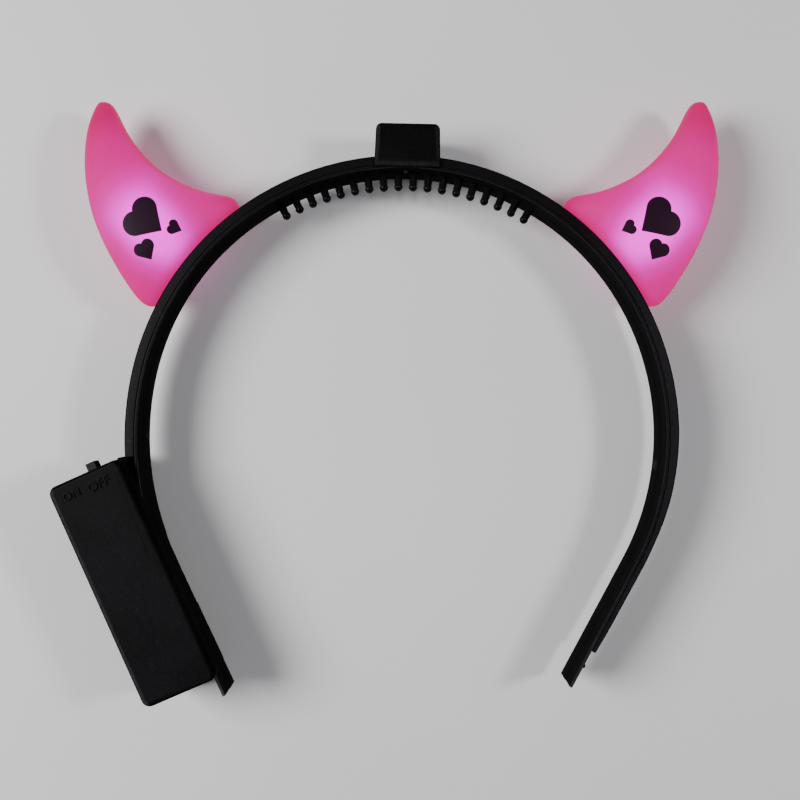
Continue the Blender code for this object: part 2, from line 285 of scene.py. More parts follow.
def ramp_between(tree, value, low, high, out_low=0.0, out_high=1.0):
    """Smooth step of a value from low to high."""
    links = {"Value": value, 1: low, 2: high, 3: out_low, 4: out_high}
    node = add_node(tree, "ShaderNodeMapRange", links, interpolation_type="SMOOTHSTEP")
    return node.outputs[0]


# %% Grain, unevenness and dust
FLOAT, VECTOR = "NodeSocketFloat", "NodeSocketVector"

grain_group, given, result = new_group(
    "moulded_grain",
    [("Place", VECTOR, None), ("Grains per metre", FLOAT, 2500.0)],
    [("Height", FLOAT), ("Speck", FLOAT)],
)
cells = add_node(
    grain_group,
    "ShaderNodeTexVoronoi",
    {"Vector": given["Place"], "Scale": given["Grains per metre"]},
    feature="SMOOTH_F1",
).outputs["Distance"]
fine = noise(grain_group, given["Place"], given["Grains per metre"], 3.0)
height = math_node(grain_group, "ADD", cells, fine)
grain_group.links.new(height, result["Height"])
grain_group.links.new(ramp_between(grain_group, height, 0.75, 1.25), result["Speck"])

uneven_group, given, result = new_group(
    "uneven_gloss",
    [("Place", VECTOR, None), ("Patches per metre", FLOAT, 60.0), ("Low", FLOAT, 0.4),
     ("High", FLOAT, 0.5)],
    [("Roughness", FLOAT), ("Patch", FLOAT)],
)
broad = noise(uneven_group, given["Place"], given["Patches per metre"], 4.0)
patch = ramp_between(uneven_group, broad, 0.35, 0.65)
spread = math_node(uneven_group, "SUBTRACT", given["High"], given["Low"])
rough = math_node(uneven_group, "MULTIPLY_ADD", patch, spread, given["Low"])
uneven_group.links.new(rough, result["Roughness"])
uneven_group.links.new(patch, result["Patch"])

dust_light_group, given, result = new_group(
    "dust_and_painted_light",
    [("Place", VECTOR, None), ("Facing", VECTOR, None), ("Lit haze", FLOAT, 0.03), ("Specks", FLOAT, 0.02),
     ("Painted highlight", FLOAT, 0.0)],
    [("Dust and light", FLOAT), ("Front", FLOAT)],
)
specks = noise(dust_light_group, given["Place"], 900.0, 6.0, roughness=0.75)
front = ramp_between(dust_light_group, split_vector(dust_light_group, given["Facing"])["Z"], 0.88, 0.995)
few = ramp_between(dust_light_group, specks, 0.56, 0.72)
# On faces that point up lies a fine dusting of haze and specks, which is also painted light that makes those
# faces paler than the sides
lit_haze = math_node(dust_light_group, "MULTIPLY", given["Lit haze"], math_node(dust_light_group, "ADD", specks, 0.5))
layer = math_node(dust_light_group, "MULTIPLY_ADD", few, given["Specks"], lit_haze)
# Painted shade: the upper half of the headband gets less of the pale layer, so it is darker than the legs
along_legs = split_vector(dust_light_group, given["Place"])["Y"]
upper_shade = ramp_between(dust_light_group, along_legs, 0.055, 0.015, 0.15, 1.0)
lying = math_node(dust_light_group, "MULTIPLY", layer, front)
dust_and_shade = math_node(dust_light_group, "MULTIPLY", lying, upper_shade)
# Painted highlights: edges that the point attribute marks get a pale, mottled line
paleness = ramp_between(dust_light_group, specks, 0.35, 0.65, 0.025, 0.055)
highlight_layer = math_node(dust_light_group, "MULTIPLY", given["Painted highlight"], paleness)
dust_light_group.links.new(math_node(dust_light_group, "ADD", dust_and_shade, highlight_layer), result["Dust and light"])
dust_light_group.links.new(front, result["Front"])
print("shader groups:", ", ".join(group.name for group in bpy.data.node_groups))

# %% [markdown]
# ## Plastics
# The band, the boxes and the switch are injection-moulded plastic. A flat black would look like
# a hole in the picture, so each finish mixes a dark base with a slightly lighter tone by patch,
# lets the gloss wander, and adds the fine grain as bump. They differ in grain size and tone, so
# one function makes them all.


# %% Plastic finishes
DUST_AND_LIGHT_COLOUR = (0.35, 0.31, 0.35, 1.0)


def new_material(name):
    """A material, its node tree, its Principled shader and its texture coordinates."""
    material = bpy.data.materials.new(name)
    material.use_nodes = True
    tree = material.node_tree
    where = add_node(tree, "ShaderNodeTexCoord").outputs
    return material, tree, tree.nodes["Principled BSDF"], where


def use_group(tree, group, links):
    return add_node(tree, "ShaderNodeGroup", links, node_tree=group).outputs


def relief_from(tree, height, depth):
    """Normal of a bump whose depth is given in mm."""
    links = {"Height": height, "Strength": 1.0, "Distance": depth * MM}
    return add_node(tree, "ShaderNodeBump", links).outputs["Normal"]


def moulded_plastic(name, dark, light, gloss, grains, bump, dust_and_lit_haze, shine, side_roughness=1.0):
    """A moulded plastic: two tones, a range of roughness, grain size and depth, a dusting that is partly
    painted light, and shine.
    """
    material, tree, shader, where = new_material(name)
    spot = where["Object"]
    grain = use_group(tree, grain_group, {"Place": spot, "Grains per metre": grains})
    uneven = use_group(tree, uneven_group, {"Place": spot, "Low": gloss[0], "High": gloss[1]})
    # The point attribute holds the painted highlights on edges
    painted_highlight = add_node(tree, "ShaderNodeAttribute", attribute_name="painted_highlight").outputs["Fac"]
    settings = {"Place": spot, "Facing": where["Normal"], "Lit haze": dust_and_lit_haze[0], "Specks": dust_and_lit_haze[1], "Painted highlight": painted_highlight}
    dust_light = use_group(tree, dust_light_group, settings)
    half_patch = math_node(tree, "MULTIPLY", uneven["Patch"], 0.5)
    tone = math_node(tree, "MULTIPLY_ADD", grain["Speck"], 0.5, half_patch)
    base = mix(tree, tone, (*dark, 1.0), (*light, 1.0))
    # The pale layer mixed in is a dusting plus painted light, painted shade and painted highlights
    tree.links.new(mix(tree, dust_light["Dust and light"], base, DUST_AND_LIGHT_COLOUR), shader.inputs["Base Color"])
    rough = mix(tree, dust_light["Front"], side_roughness, uneven["Roughness"], kind="FLOAT")
    tree.links.new(rough, shader.inputs["Roughness"])
    tree.links.new(relief_from(tree, grain["Height"], bump), shader.inputs["Normal"])
    shader.inputs["Specular IOR Level"].default_value = shine
    return material


band_plastic = moulded_plastic(
    "band_plastic", (0.0012, 0.001, 0.0012), (0.0025, 0.002, 0.0025), (0.36, 0.44), 3000.0, 0.003,
    (0.008, 0.02), 0.05,
)
cover_plastic = moulded_plastic(
    "cover_plastic", (0.0010, 0.0008, 0.0010), (0.003, 0.0025, 0.003), (0.46, 0.54), 2600.0, 0.006,
    (0.017, 0.03), 0.06,
)
case_plastic = moulded_plastic(
    "case_plastic", (0.0010, 0.0008, 0.0010), (0.0036, 0.003, 0.0036), (0.46, 0.51), 2200.0, 0.022,
    (0.008, 0.012), 0.04,
)
switch_plastic = moulded_plastic(
    "switch_plastic", (0.002, 0.0016, 0.002), (0.004, 0.0035, 0.004), (0.46, 0.54), 2600.0, 0.008,
    (0.055, 0.03), 0.05,
)
print("plastics:", [item.name for item in bpy.data.materials if item.name.endswith("_plastic")])

# %% [markdown]
# ## Sweeping a strip along the band
# The inner rim, the outer cover and the cutters that clear a way for them all follow the same
# course. By hand this is one small face, spun about the centre of each bend and extruded along
# each straight, because spin and extrude leave their last face selected for the next step.


# %% Sweep a section along the course
def centre_of_bend(along, radius):
    point, outward = band_point(along)
    return (point - outward * radius) * MM


STEP_ALONG = 3.0


def sweep(name, start, end, across, depth, rounding=(), dress=None):
    """Sweep a rectangle. across and depth are its limits; rounding lists (test, radius) of corners.

    dress is a function that works on the flat section before it is swept."""
    deselect_all()
    bpy.ops.mesh.primitive_plane_add(size=MM)
    strip = named(name)
    edit(strip)
    bpy.ops.mesh.select_all(action="SELECT")
    bpy.ops.transform.resize(value=(across[1] - across[0], depth[1] - depth[0], 1.0))
    middle = ((across[0] + across[1]) / 2 * MM, (depth[0] + depth[1]) / 2 * MM, 0.0)
    bpy.ops.transform.translate(value=middle)
    for test, radius in rounding:
        pick("verts", test)
        bpy.ops.mesh.bevel(offset=radius * MM, segments=3, affect="VERTICES")
    if dress:
        dress()
    place(strip, axes_at(*band_point(start), depth=0.0))
    edit(strip)
    bpy.ops.mesh.select_all(action="SELECT")
    stops = bends_between(start, end)
    for here, there in zip(stops, stops[1:]):
        run = run_at((here + there) / 2)
        if run.turn:
            radius = run.length / math.radians(run.turn)
            bend = (there - here) / radius
            steps = max(1, math.ceil((there - here) / STEP_ALONG))
            centre = centre_of_bend(here, radius)
            bpy.ops.mesh.spin(steps=steps, angle=bend, center=centre, axis=(0.0, 0.0, 1.0))
        else:
            way = (band_point(there)[0] - band_point(here)[0]) * MM
            bpy.ops.mesh.extrude_region_move(TRANSFORM_OT_translate={"value": way})
    bpy.ops.mesh.select_all(action="SELECT")
    bpy.ops.mesh.remove_doubles(threshold=WELD)
    bpy.ops.mesh.normals_make_consistent(inside=False)
    bpy.ops.object.mode_set(mode="OBJECT")
    return strip


# %% [markdown]
# ## The inner rim
# The strip against the head is thin, with small round edges that catch the light as two fine
# lines, and a painted highlight on those edges makes the lines paler. A sweep with rounded corners
# gives both lines at once. Half way back its inner face has a shallow step, so the section gets
# an extra corner there before it is swept. A moulded nub, two pin holes and the peg that locks the
# cover's end are added to the finished strip.

# %% Inner rim
RIM = 1.1
BAND_BACK = MID_DEPTH - BAND_DEPTH / 2
BAND_FRONT = MID_DEPTH + BAND_DEPTH / 2
WALL_STEP = 0.25
NUB_ALONG = 1.2
NUB_DEPTH = 14.6
PINS_ALONG = (-113.3, 121.5)
PIN_DEPTH = 8.0
PEG_TO_END = 6.3


def step_in_wall():
    """Set the front half of the inner face back a little, with a slope between the halves."""
    pick("edges", lambda point: point.x < 0.01)
    bpy.ops.mesh.subdivide(number_cuts=1)
    pick("verts", lambda point: point.x < 0.01 and abs(point.y - MID_DEPTH) < 0.01)
    bpy.ops.mesh.bevel(offset=0.3 * MM, segments=1, affect="VERTICES")
    pick("verts", lambda point: point.x < 0.3 and point.y > MID_DEPTH)
    bpy.ops.transform.translate(value=(WALL_STEP * MM, 0.0, 0.0))


inner_rim = sweep(
    "inner_rim",
    LEFT_END,
    RIGHT_END,
    (0.0, RIM),
    (BAND_BACK, BAND_FRONT),
    rounding=[(lambda point: True, 0.25)],
    dress=step_in_wall,
)


def stub(name, radius, length, rounding=0.0):
    """A short round bar along Z with its far end rounded, its foot at the origin."""
    deselect_all()
    middle = (0.0, 0.0, length / 2 * MM)
    bpy.ops.mesh.primitive_cylinder_add(vertices=20, radius=radius * MM, depth=length * MM, location=middle)
    bpy.ops.object.transform_apply(location=True, rotation=True, scale=True)
    bar = named(name)
    if rounding:
        edit(bar)
        pick("edges", lambda point: point.z > length - 0.01)
        bpy.ops.mesh.bevel(offset=rounding * MM, segments=4, profile=0.5)
        bpy.ops.object.mode_set(mode="OBJECT")
    return bar


def across_band(along, across, depth, inward=True):
    """Matrix that points Z across the band at a place along, across and deep."""
    point, outward = band_point(along)
    up = Vector((0.0, 0.0, 1.0))
    way = -outward if inward else outward
    turn = Matrix((up.cross(way), up, way)).transposed().to_4x4()
    return Matrix.Translation((point + outward * across + up * depth) * MM) @ turn


for along in PINS_ALONG:
    pin_hole = stub("pin_hole", 0.55, 1.2)
    place(pin_hole, across_band(along, 0.6, PIN_DEPTH))
    cut(inner_rim, pin_hole)
nub = stub("nub", 0.65, 0.6, rounding=0.3)
place(nub, across_band(NUB_ALONG, WALL_STEP + 0.1, NUB_DEPTH))
peg = stub("peg", 0.55, 1.3, rounding=0.2)
place(peg, across_band(RIGHT_END - PEG_TO_END, RIM - 0.2, 15.5, inward=False))

# %% [markdown]
# ## The comb
# Eighteen round teeth grip the hair. One tooth is a turned shape: a round face is extruded and
# resized along a profile, from a flared foot over a thin stem to a ball. Each copy gets its own
# mesh and is turned to its place, and all are then joined. The balls are polished by use and the
# stems are not, so the comb is a piece of its own, whose roughness follows the distance from the
# middle of the arc.

# %% Comb teeth
TEETH = 18
TOOTH_PITCH = 3.42
TOOTH_MIDDLE = 0.95
STEM = 1.07
BALL = 1.17
TOOTH_LENGTH = 4.75
TOOTH_SIDES = 24
BALL_ROUGHNESS = 0.24


def turned(name, profile):
    """A round bar along Z through pairs of height and radius in mm."""
    deselect_all()
    height, radius = profile[0]
    bpy.ops.mesh.primitive_circle_add(
        vertices=TOOTH_SIDES, radius=radius * MM, fill_type="NGON", location=(0.0, 0.0, height * MM)
    )
    bpy.ops.object.transform_apply(location=True, rotation=True, scale=True)
    bar = named(name)
    edit(bar)
    bpy.ops.mesh.select_all(action="SELECT")
    for (low, before), (high, after) in zip(profile, profile[1:]):
        bpy.ops.mesh.extrude_region_move(TRANSFORM_OT_translate={"value": (0.0, 0.0, (high - low) * MM)})
        bpy.ops.transform.resize(value=(after / before, after / before, 1.0))
    bpy.ops.object.mode_set(mode="OBJECT")
    return bar


ball_steps = [math.radians(angle) for angle in (-32, -12, 8, 28, 46, 62, 76, 86)]
ball = [(TOOTH_LENGTH - BALL + BALL * math.sin(a), BALL * math.cos(a)) for a in ball_steps]
stem = [(-0.4, 1.5), (0.0, 1.35), (0.45, 1.1), (1.0, STEM), (2.3, STEM)]
tooth = turned("tooth", stem + ball)

comb_plastic = moulded_plastic(
    "comb_plastic", (0.0012, 0.001, 0.0012), (0.002, 0.0016, 0.002), (0.7, 0.8), 3000.0, 0.001,
    (0.0, 0.0), 0.08, side_roughness=0.9,
)
tree = comb_plastic.node_tree
shader = tree.nodes["Principled BSDF"]
spot = add_node(tree, "ShaderNodeTexCoord").outputs["Object"]
level = vector_node(tree, "MULTIPLY", spot, (1.0, 1.0, 0.0))
from_middle = vector_node(tree, "DISTANCE", level, (*(ARC_CENTRE * MM).xy, 0.0))
ball_start = (ARC_RADIUS - TOOTH_LENGTH + BALL) * MM
at_ball = ramp_between(tree, from_middle, ball_start + 0.5 * MM, ball_start - 0.1 * MM)
stem_rough = shader.inputs["Roughness"].links[0].from_socket
rough = mix(tree, at_ball, stem_rough, BALL_ROUGHNESS, kind="FLOAT")
tree.links.new(rough, shader.inputs["Roughness"])

teeth = []
for k in range(TEETH):
    angle = TOOTH_MIDDLE + TOOTH_PITCH * (k - (TEETH - 1) / 2)
    copy = tooth.copy()
    copy.data = tooth.data.copy()
    copy.name = f"tooth_{k}"
    bpy.context.scene.collection.objects.link(copy)
    place(copy, across_band(ARC_RADIUS * math.radians(angle), 0.0, MID_DEPTH))
    teeth.append(copy)
bpy.data.objects.remove(tooth, do_unlink=True)


def joined(name, pieces):
    """Join pieces into one object with a name."""
    activate(pieces[0])
    for other in pieces[1:]:
        other.select_set(True)
    bpy.ops.object.join()
    return named(name)


comb_teeth = joined("comb_teeth", teeth)
close_piece(comb_teeth, comb_plastic, "band_plastic", "headband", angle=60.0)
inner_rim = joined("inner_rim", [inner_rim, nub, peg])
close_piece(inner_rim, band_plastic, "band_plastic", "headband", "inner_band")
NUB_SPOT = band_point(NUB_ALONG)[0]
PIN_SPOTS = [band_point(along)[0] for along in PINS_ALONG]
BESIDE_BOX_FROM = -17.0
FRONT_EDGE_FROM = MID_DEPTH + 4.0
NUB_HIGHLIGHT, EDGE_HIGHLIGHT, BESIDE_BOX_HIGHLIGHT = 1.6, 1.0, 2.4


def rim_highlight(point, normal):
    """Painted highlights on the two front edges and on what stands out of or is cut into the inner face."""
    if (point - NUB_SPOT).to_2d().length < 1.2 and 14.0 < point.z < 15.4:
        return NUB_HIGHLIGHT
    if any((point - pin).to_2d().length < 0.7 for pin in PIN_SPOTS) and abs(point.z - PIN_DEPTH) < 0.6:
        return EDGE_HIGHLIGHT
    if point.z < FRONT_EDGE_FROM or not 0.3 < normal.z < 0.95:
        return 0.0
    # Beside the battery box the painted highlight is stronger, in place of light the box keeps off
    beside_box = point.x < 0.0 and point.y < BESIDE_BOX_FROM
    return BESIDE_BOX_HIGHLIGHT if beside_box else EDGE_HIGHLIGHT


# Painted highlights on the rim's front edges, its nub and its pin holes
mark_painted_highlight(inner_rim, rim_highlight)

# %% [markdown]
# ## The outer cover
# The cover closes the band from the battery box over the crown to near the end of the right leg,
# and thins towards that end. A sweep has one thickness, so it stops where the thinning starts.
# From there the end face is extruded in short steps, and at each step its height above the rim is
# multiplied by a share that falls along the leg.

# %% Outer cover
FIT = 0.3
SEAM = 0.08
COVER = 2.4
COVER_INNER = RIM + FIT
COVER_OUTER = COVER_INNER + COVER
COVER_LEFT_END = -118.2
COVER_RIGHT_END = RIGHT_END - 11.2
COVER_END_REACH = 2.6
COVER_END_ROUND = 0.35
Thickness = namedtuple("Thickness", "along share")
COVER_TAPER = (
    Thickness(112.0, 1.0),
    Thickness(129.6, 0.85),
    Thickness(142.0, 0.62),
    Thickness(168.0, 0.54),
    Thickness(COVER_RIGHT_END, 0.42),
)


def share_at(along):
    for near, far in zip(COVER_TAPER, COVER_TAPER[1:]):
        if along <= far.along:
            way = max(0.0, (along - near.along) / (far.along - near.along))
            return near.share + way * (far.share - near.share)
    return COVER_TAPER[-1].share


outer_cover = sweep(
    "outer_cover",
    COVER_LEFT_END,
    COVER_TAPER[0].along,
    (RIM + SEAM, COVER_OUTER),
    (BAND_BACK, BAND_FRONT),
    rounding=[(lambda point: point.x > COVER_OUTER - 0.01, 0.7),
              (lambda point: point.x < RIM + SEAM + 0.01, 0.2)],
)


def in_section(along, reach):
    """A test for what lies in the cross-section at a place along the band, within reach of it."""
    middle, outward = band_point(along)
    way = Vector((-outward.y, outward.x, 0.0))
    return lambda point: (point - middle).to_2d().length < reach and abs((point - middle).dot(way)) < 0.05


edit(outer_cover)
pick("faces", in_section(COVER_TAPER[0].along, COVER_OUTER))
here = COVER_TAPER[0].along
while here < COVER_RIGHT_END - 0.01:
    there = min(here + STEP_ALONG, COVER_RIGHT_END)
    way = band_point(there)[0] - band_point(here)[0]
    bpy.ops.mesh.extrude_region_move(TRANSFORM_OT_translate={"value": way * MM})
    mesh = bmesh.from_edit_mesh(outer_cover.data)
    old_out = band_point(here)[1]
    new_point, new_out = band_point(there)
    thinner = share_at(there) / share_at(here)
    for vert in mesh.verts:
        if vert.select:
            offset = vert.co / MM - new_point
            across = offset.dot(old_out)
            flat = RIM + SEAM + (across - RIM - SEAM) * thinner
            vert.co = (new_point + new_out * flat + Vector((0.0, 0.0, offset.z))) * MM
    bmesh.update_edit_mesh(outer_cover.data)
    here = there
pick("edges", in_section(COVER_RIGHT_END, COVER_END_REACH))
bpy.ops.mesh.bevel(offset=COVER_END_ROUND * MM, segments=3, profile=0.5)
bpy.ops.object.mode_set(mode="OBJECT")
close_piece(outer_cover, cover_plastic, "band_plastic", "headband", "band_cover")

# %% [markdown]
# ## The crown box
# A small box at the top straddles the band and narrows towards its top. It starts as a cube: the
# top face is drawn in, its two corners are rounded, and then all edges of the front and the back.
# The front edge at the foot is broader, so the points of its round are moved further out from the
# corner they were made from. A sweep of the band's own section then cuts the way for the band.

# %% Crown box
CROWN_TURN = 1.2
CROWN_WIDTH_TOP = 17.2
CROWN_WIDTH_FOOT = 18.0
CROWN_TOP = 12.1
CROWN_FOOT = 0.15
CROWN_DEPTH = 16.4
CROWN_ROUND = 1.35
CROWN_FOOT_ROUND = 2.2
CROWN_CORNER_ROUND = 1.5
CROWN_WAY = (-14.0, 16.0)


def block(name, size, middle=(0.0, 0.0, 0.0)):
    deselect_all()
    bpy.ops.mesh.primitive_cube_add(size=MM, location=Vector(middle) * MM, scale=size)
    bpy.ops.object.transform_apply(location=True, rotation=True, scale=True)
    return named(name)


def reshape_round(test, corner, share):
    """In edit mode, scale the points of a round edge away from the corner it was made from."""
    mesh = bmesh.from_edit_mesh(bpy.context.object.data)
    for vert in mesh.verts:
        point = vert.co / MM
        if test(point):
            vert.co = (corner(point) + (point - corner(point)) * share(point)) * MM
    bmesh.update_edit_mesh(bpy.context.object.data)


crown_height = CROWN_TOP - CROWN_FOOT
crown_case = block("crown_case", (CROWN_WIDTH_FOOT, crown_height, CROWN_DEPTH))
edit(crown_case)
pick("faces", lambda point: point.y > crown_height / 2 - 0.01)
bpy.ops.transform.resize(value=(CROWN_WIDTH_TOP / CROWN_WIDTH_FOOT, 1.0, 1.0))
pick("edges", lambda point: abs(point.z) < 0.01 and point.y > 0)
bpy.ops.mesh.bevel(offset=CROWN_CORNER_ROUND * MM, segments=5, profile=0.5)
pick("edges", lambda point: abs(point.z) > CROWN_DEPTH / 2 - 0.01)
bpy.ops.mesh.bevel(offset=CROWN_ROUND * MM, segments=6, profile=0.5)
foot_end = CROWN_ROUND - crown_height / 2 + 0.01
round_back = CROWN_DEPTH / 2 - CROWN_ROUND - 0.01
reshape_round(
    lambda point: point.y < foot_end and point.z > round_back,
    lambda point: Vector((point.x, -crown_height / 2, CROWN_DEPTH / 2)),
    lambda point: CROWN_FOOT_ROUND / CROWN_ROUND,
)
bpy.ops.object.mode_set(mode="OBJECT")
crown_angle = math.radians(CROWN_TURN)
crown_out = Vector((math.sin(crown_angle), math.cos(crown_angle), 0.0))
crown_middle = ARC_CENTRE + crown_out * (ARC_RADIUS + (CROWN_TOP + CROWN_FOOT) / 2)
crown_middle.z = MID_DEPTH
place(crown_case, Matrix.Translation(crown_middle * MM) @ Matrix.Rotation(-crown_angle, 4, "Z"))
way_across = (-1.0, COVER_OUTER + SEAM)
way_deep = (BAND_BACK - SEAM, BAND_FRONT + SEAM)
cut(crown_case, sweep("crown_way", *CROWN_WAY, way_across, way_deep))
close_piece(crown_case, case_plastic, "box_plastic", "headband", "crown_box")


def crown_highlight(point, normal):
    """Painted highlights on the front's left and right edges, and a faint one on its foot."""
    if point.z < MID_DEPTH or not 0.6 < normal.z < 0.98:
        return 0.0
    return 0.75 if abs(normal.x) > abs(normal.y) else 0.06 * (normal.y < 0.0)


# Painted highlights on the side edges of the crown box's front
mark_painted_highlight(crown_case, crown_highlight)

# %% [markdown]
# ## The battery box
# The battery box is a long block with its own tilt, so it is made lying straight and then turned
# into place. Separate bevels of different widths would cut into one another at the corners, so
# all front edges are bevelled alike, and each round is then scaled to its side. The lower end is
# drawn out a little. Slots are cut for the switch and for the door in the back, and a fine line
# beside the lid. A small saddle joins the box to the band, whose course cuts the way for the leg.

# %% Battery box
BOX_TILT = 24.1
BOX_CENTRE = Vector((-71.6, -40.0, 0.0)) + ARC_CENTRE
BOX_LENGTH = 63.6
BOX_WIDTH = 21.3
BOX_DEPTH = 24.0
SWITCH_MIDDLE = -0.4
SWITCH_TRAVEL = 2.5
KNOB_WIDTH = 2.8
KNOB_DEPTH = 4.0
KNOB_HEIGHT = 2.4
KNOB_ROOT = 1.9
KNOB_MIDDLE_DEPTH = 15.0
DOOR = (46.0, 14.6, 1.2)
DOOR_TO_LOWER_END = 4.0

CORNER_ROUND = 2.3
EDGE_ROUND = 1.0
LEFT_ROUND, UPPER_ROUND, HEAD_ROUND = 1.6, 1.1, 1.8
LOWER_ROUND_AWAY, LOWER_ROUND_HEAD = 2.3, 0.8
LOWER_ZONE, LOWER_REACH = 4.0, 0.45
BACK_ROUND = 0.8
LID_LINE_MIDDLE = (7.9, 20.0)
LID_LINE_TURN = 2.6
SADDLE_START = -152.0
SADDLE_OUTER = 6.6
SADDLE_FRONT = 15.5
SADDLE_FALL = 7.0


def box_outline(point):
    """Nearest point of the box's outline seen from the front, and the way out from there."""
    inner = Vector((
        max(CORNER_ROUND - BOX_WIDTH / 2, min(BOX_WIDTH / 2 - CORNER_ROUND, point.x)),
        max(CORNER_ROUND - BOX_LENGTH / 2, min(BOX_LENGTH / 2 - CORNER_ROUND, point.y)),
    ))
    way = (point.to_2d() - inner).normalized()
    return inner + way * CORNER_ROUND, way


def box_corner(point):
    return box_outline(point)[0].to_3d() + Vector((0.0, 0.0, BOX_DEPTH))


def round_at(point):
    """Radius of the front edge: it differs from side to side, and falls along the lower end."""
    way = box_outline(point)[1]
    along = min(1.0, max(0.0, 0.5 + point.x / BOX_WIDTH))
    lower = LOWER_ROUND_AWAY + (LOWER_ROUND_HEAD - LOWER_ROUND_AWAY) * along
    sideways = HEAD_ROUND if way.x > 0.0 else LEFT_ROUND
    endways = UPPER_ROUND if way.y > 0.0 else lower
    return (way.x ** 2 * sideways + way.y ** 2 * endways) / EDGE_ROUND


# X of the box runs towards the head and Y towards its upper end
box_place = Matrix.Translation(BOX_CENTRE * MM) @ Matrix.Rotation(math.radians(BOX_TILT), 4, "Z")

battery_case = block("battery_case", (BOX_WIDTH, BOX_LENGTH, BOX_DEPTH), (0.0, 0.0, BOX_DEPTH / 2))
edit(battery_case)
pick("edges", lambda point: abs(point.x) > BOX_WIDTH / 2 - 0.1 and abs(point.y) > BOX_LENGTH / 2 - 0.1)
bpy.ops.mesh.bevel(offset=CORNER_ROUND * MM, segments=6, profile=0.5)
pick("edges", lambda point: point.z > BOX_DEPTH - 0.01)
bpy.ops.mesh.bevel(offset=EDGE_ROUND * MM, segments=5, profile=0.5)
reshape_round(lambda point: point.z > BOX_DEPTH - EDGE_ROUND - 0.01, box_corner, round_at)
pick("verts", lambda point: point.y < LOWER_ZONE - BOX_LENGTH / 2)
bpy.ops.transform.translate(value=(0.0, -LOWER_REACH * MM, 0.0))
pick("edges", lambda point: point.z < 0.01)
bpy.ops.mesh.bevel(offset=BACK_ROUND * MM, segments=3, profile=0.5)
bpy.ops.object.mode_set(mode="OBJECT")

slot_width = KNOB_WIDTH + SWITCH_TRAVEL + 2 * FIT
slot_floor = BOX_LENGTH / 2 - KNOB_ROOT - FIT
cut(battery_case, block(
    "slot_way", (slot_width, 4.0, KNOB_DEPTH + 2 * FIT), (SWITCH_MIDDLE, slot_floor + 2.0, KNOB_MIDDLE_DEPTH)
))
door_middle = -BOX_LENGTH / 2 + DOOR_TO_LOWER_END + DOOR[0] / 2
cut(battery_case, block(
    "door_way", (DOOR[1] + 2 * FIT, DOOR[0] + 2 * FIT, 2 * (DOOR[2] + FIT)), (0.0, door_middle, 0.0)
))
lid_line = block("lid_line", (0.3, 32.0, 0.5), (*LID_LINE_MIDDLE, BOX_DEPTH + 0.15))
lid_pivot = Vector((*LID_LINE_MIDDLE, BOX_DEPTH)) * MM
activate(lid_line)
bpy.ops.transform.rotate(value=math.radians(LID_LINE_TURN), orient_axis="Z", center_override=lid_pivot)
place(lid_line, lid_line.matrix_world.copy())
cut(battery_case, lid_line)
place(battery_case, box_place)


def slope_saddle():
    """Let the front of the saddle fall towards the band."""
    pick("verts", lambda point: point.y > SADDLE_FRONT - 0.1 and point.x < COVER_INNER + 0.1)
    bpy.ops.transform.translate(value=(0.0, -SADDLE_FALL * MM, 0.0))


saddle = sweep(
    "saddle", SADDLE_START, COVER_LEFT_END - FIT, (COVER_INNER, SADDLE_OUTER), (BAND_BACK, SADDLE_FRONT),
    dress=slope_saddle,
)
cut(battery_case, saddle, "UNION")
leg_way = sweep(
    "leg_way", LEFT_END - 30.0, COVER_LEFT_END + FIT, (-10.0, COVER_INNER), (-1.0, BAND_FRONT + FIT)
)
cut(battery_case, leg_way)
close_piece(battery_case, case_plastic, "box_plastic", "headband", "battery_box")
box_left = box_place.to_3x3() @ Vector((-1.0, 0.0, 0.0))
from_box = box_place.inverted()


def case_highlight(point, normal):
    """A painted highlight on the front edge away from the head, along its whole length."""
    across = (from_box @ (point * MM)).x / MM + BOX_WIDTH / 2
    on_edge = across < LEFT_ROUND + 0.1 and 0.7 < normal.z < 0.99 and normal.dot(box_left) > 0.1
    return 1.1 if on_edge else 0.0


# Painted highlight along the box's front edge away from the head
mark_painted_highlight(battery_case, case_highlight)

# %% [markdown]
# ## The words on the box
# Raised letters beside the switch say which way is on. Blender's own letters are typed as text,
# given a little thickness, made a mesh and laid on the front face of the box.

# %% Raised switch words
LETTER_HEIGHT = 0.25


def raised_word(word, size, across, up):
    deselect_all()
    bpy.ops.object.text_add()
    text = bpy.context.object
    text.data.body = word
    text.data.size = size * MM
    text.data.align_x = "CENTER"
    text.data.align_y = "CENTER"
    text.data.extrude = LETTER_HEIGHT / 2 * MM
    text.data.bevel_depth = 0.05 * MM
    text.data.bevel_resolution = 1
    bpy.ops.object.convert(target="MESH")
    letters = named("word_" + word.lower())
    spot = Matrix.Translation(Vector((across, up, BOX_DEPTH + LETTER_HEIGHT / 2 - 0.02)) * MM)
    place(letters, box_place @ spot)
    return letters


on_and_off = [raised_word("ON", 3.1, -4.74, 27.8), raised_word("OFF", 3.6, 2.92, 27.5)]
switch_words = joined("switch_words", on_and_off)
close_piece(switch_words, case_plastic, "box_plastic", "headband", angle=50.0)
# Painted highlight on the sides of the letters that face away from the head
mark_painted_highlight(switch_words, lambda point, normal: 0.7 * (normal.dot(box_left) > 0.25))

# %% [markdown]
# ## The switch knob
# The knob slides in its slot at the upper end of the box. A block with rounded edges gets three
# small grooves in its outer end for the fingertip. It rides on its own body, so it moves when the
# switch is pushed to on.

